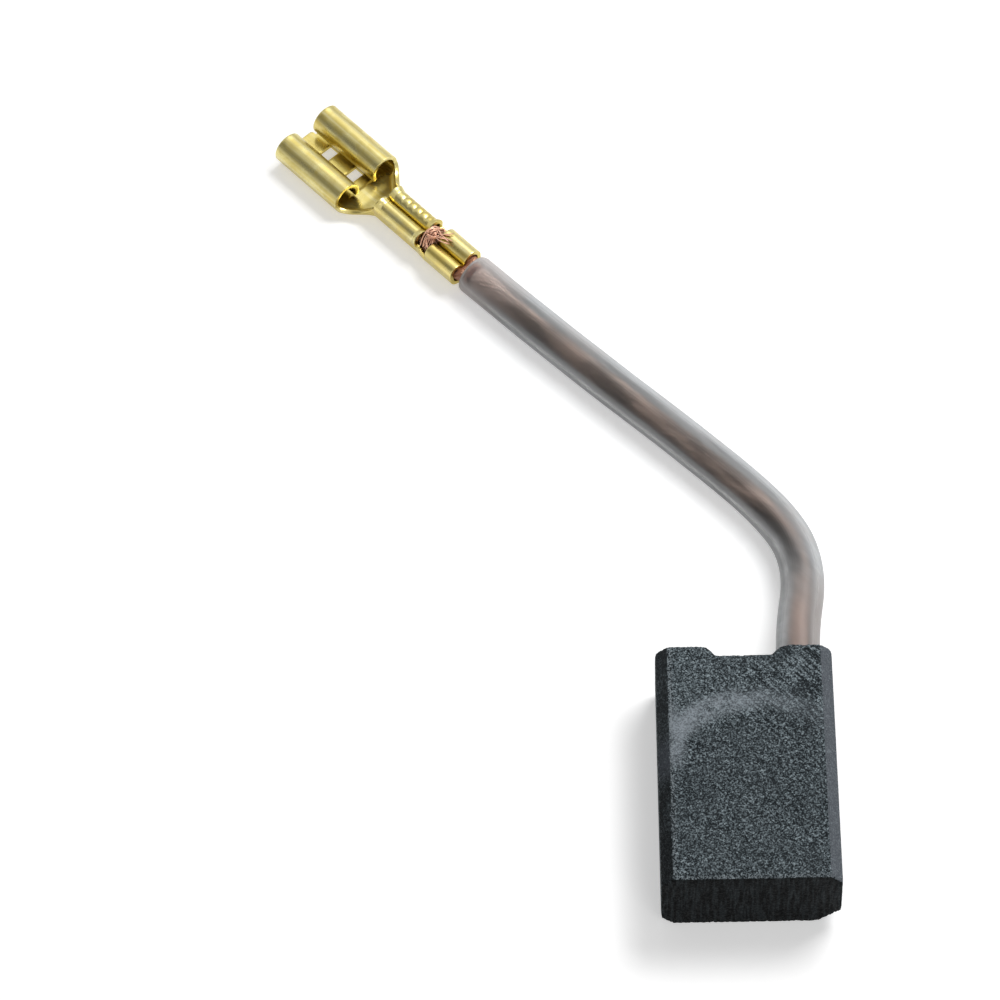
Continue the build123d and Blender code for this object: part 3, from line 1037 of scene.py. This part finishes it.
def settle(piece):
    """Apply the piece's modifiers and keep its underside on the surface."""
    mesh = baked(piece)
    piece.modifiers.clear()
    piece.data = mesh
    points = vectors(mesh.vertices)
    points[:, 2] = np.maximum(points[:, 2], 0.0)
    mesh.vertices.foreach_set("co", points.ravel())
    mesh.update()


def make_receptacle(material):
    form = Receptacle()
    narrow = NECK_NARROW / NECK_WIDE
    channel_end = COLUMNS[CHANNEL_COLUMNS - 1]

    def grip_columns(along, side):
        inner = [column * CHANNEL_WIDE / channel_end for column in COLUMNS[:CHANNEL_COLUMNS]]
        return inner + spread(CHANNEL_WIDE, form.grip_reach[side], 0.13)[1:]

    def channel_columns(along, side):
        share = (along - GRIP_FRONT) / (WIRE_REAR - GRIP_FRONT)
        scale = CHANNEL_WIDE / channel_end * (1 - share) + narrow * share
        return [column * scale for column in COLUMNS[:CHANNEL_COLUMNS]]

    def wire_columns(along, side):
        return [column * narrow for column in COLUMNS] + spread(NECK_NARROW, form.wire_reach, 0.11)[1:]

    def neck_columns(along, side):
        scale = form.neck_reach(along) / NECK_WIDE
        return [column * scale for column in COLUMNS]

    def box_columns(along, side):
        return COLUMNS + spread(NECK_WIDE, form.box_reach, 0.2)[1:]

    def tongue_columns(along, side):
        round_off = 1 - 0.16 * smooth_step((along - TONGUE_TIP + 0.2) / 0.2)
        return [column * round_off for column in COLUMNS[:TONGUE_COLUMNS]]

    box_rows = [BOX_REAR]
    stops = sorted(middle + sign * WINDOW_LENGTH / 2 for middle in WINDOWS for sign in (-1, 1))
    for start, stop in zip([BOX_REAR, BOX_REAR + 0.5] + stops, [BOX_REAR + 0.5] + stops + [BOX_FRONT]):
        box_rows += spread(start, stop, 0.07 if start == BOX_REAR else 0.25)[1:]
    blank = Blank(form)
    blank.patch(spread(0, GRIP_FRONT, 0.22), grip_columns)
    blank.patch(spread(GRIP_FRONT, WIRE_REAR, 0.10), channel_columns)
    blank.patch(spread(WIRE_REAR, WIRE_FRONT, 0.09), wire_columns)
    blank.patch(spread(WIRE_FRONT, BOX_REAR, 0.09), neck_columns)
    blank.patch(box_rows, box_columns, in_window)
    blank.patch(spread(BOX_FRONT, TONGUE_TIP, 0.1), tongue_columns)
    piece = make_piece("folded_receptacle", blank.points, blank.faces, material)
    thick = piece.modifiers.new("sheet", "SOLIDIFY")
    thick.thickness = SHEET * MM
    thick.offset = 0.0
    thick.use_even_offset = True
    edge = piece.modifiers.new("burnished_edges", "BEVEL")
    edge.width = 0.06 * MM
    edge.segments = 2
    edge.limit_method = "ANGLE"
    edge.angle_limit = math.radians(50)
    settle(piece)
    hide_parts("receptacle_terminal")
    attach(piece, "root")
    return piece


# Floor, world and lamps
def flat_card(name, half_x, half_y, height, material):
    mesh = bpy.data.meshes.new(name)
    corners = [(-half_x, -half_y, height), (half_x, -half_y, height)]
    corners += [(half_x, half_y, height), (-half_x, half_y, height)]
    mesh.from_pydata(corners, [], [(0, 1, 2, 3)])
    mesh.materials.append(material)
    card = linked(name, mesh)
    return card


def facing(place, target):
    """Matrix that puts a lamp or card at a place, turned to a target."""
    aim = Vector(target) - Vector(place)
    return Matrix.Translation(place) @ aim.to_track_quat("-Z", "Y").to_matrix().to_4x4()


def make_floor():
    """Paper that catches the shadow and looks white to the camera."""
    look = Look("pale_paper")
    fibre = look.noise(900, 2.0, 0.5)
    colour = look.mix(fibre, (0.80, 0.80, 0.80), (0.84, 0.84, 0.84))
    matte = look.node("BsdfDiffuse", Color=colour)
    glow = look.node("Emission", Strength=look.times(look.looked_at(), 0.42))
    both = look.node("AddShader")
    look.feed(both.inputs[0], matte.outputs[0])
    look.feed(both.inputs[1], glow.outputs[0])
    floor = flat_card("floor", FLOOR_HALF, FLOOR_HALF, FLOOR_HEIGHT, look.surface(both))


def make_world():
    """Even light that is dimmer on surfaces than where the camera sees it."""
    look = Look("soft_studio", world=True)
    level = look.ramp(look.looked_at(), 0.0, 1.0, 0.32, 1.0)
    SCENE.world = look.surface(look.node("Background", Strength=level))


def make_lamp(name, place, target, size, power):
    data = bpy.data.lights.new(name, "AREA")
    data.shape = "RECTANGLE"
    data.size, data.size_y = size
    data.energy = power
    lamp = linked(name, data)
    lamp.matrix_world = facing(place, target)


def make_flag(name, place, target, size):
    """Grey card with soft edges that only mirrors see, for the dark bands on the brass."""
    look = Look(name)
    half_x, half_y = size[0] / 2, size[1] / 2
    x, y, _ = look.split(look.place)
    side = look.ramp(look.math("ABSOLUTE", x), half_x * 0.15, half_x, 0.16, 1.0)
    end = look.ramp(look.math("ABSOLUTE", y), half_y * 0.6, half_y)
    glow = look.node("Emission", Strength=look.math("MAXIMUM", side, end))
    card = flat_card(name, half_x, half_y, 0, look.surface(glow))
    card.matrix_world = facing(place, target)
    card.visible_camera = False
    card.visible_diffuse = False
    card.visible_shadow = False
    card.visible_transmission = False


make_camera()
line = resample(lead_line(), 0.28)
sleeve = make_sleeve(line, sleeve_look(), bore_look())
core = make_rope(line, core_look())
wires = make_window_wires(copper_look())
terminal = make_receptacle(brass_look())
make_block(carbon_look())
powder = powder_look()
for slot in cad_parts["tamping_plug"].material_slots:
    slot.material = powder
make_floor()
make_world()
for name, place, target, size, power in LAMPS:
    make_lamp(name, place, target, size, power)
make_flag("dark_card", (-0.31, 0.045, 0.285), (-0.03, 0.07, 0), (0.34, 0.50))
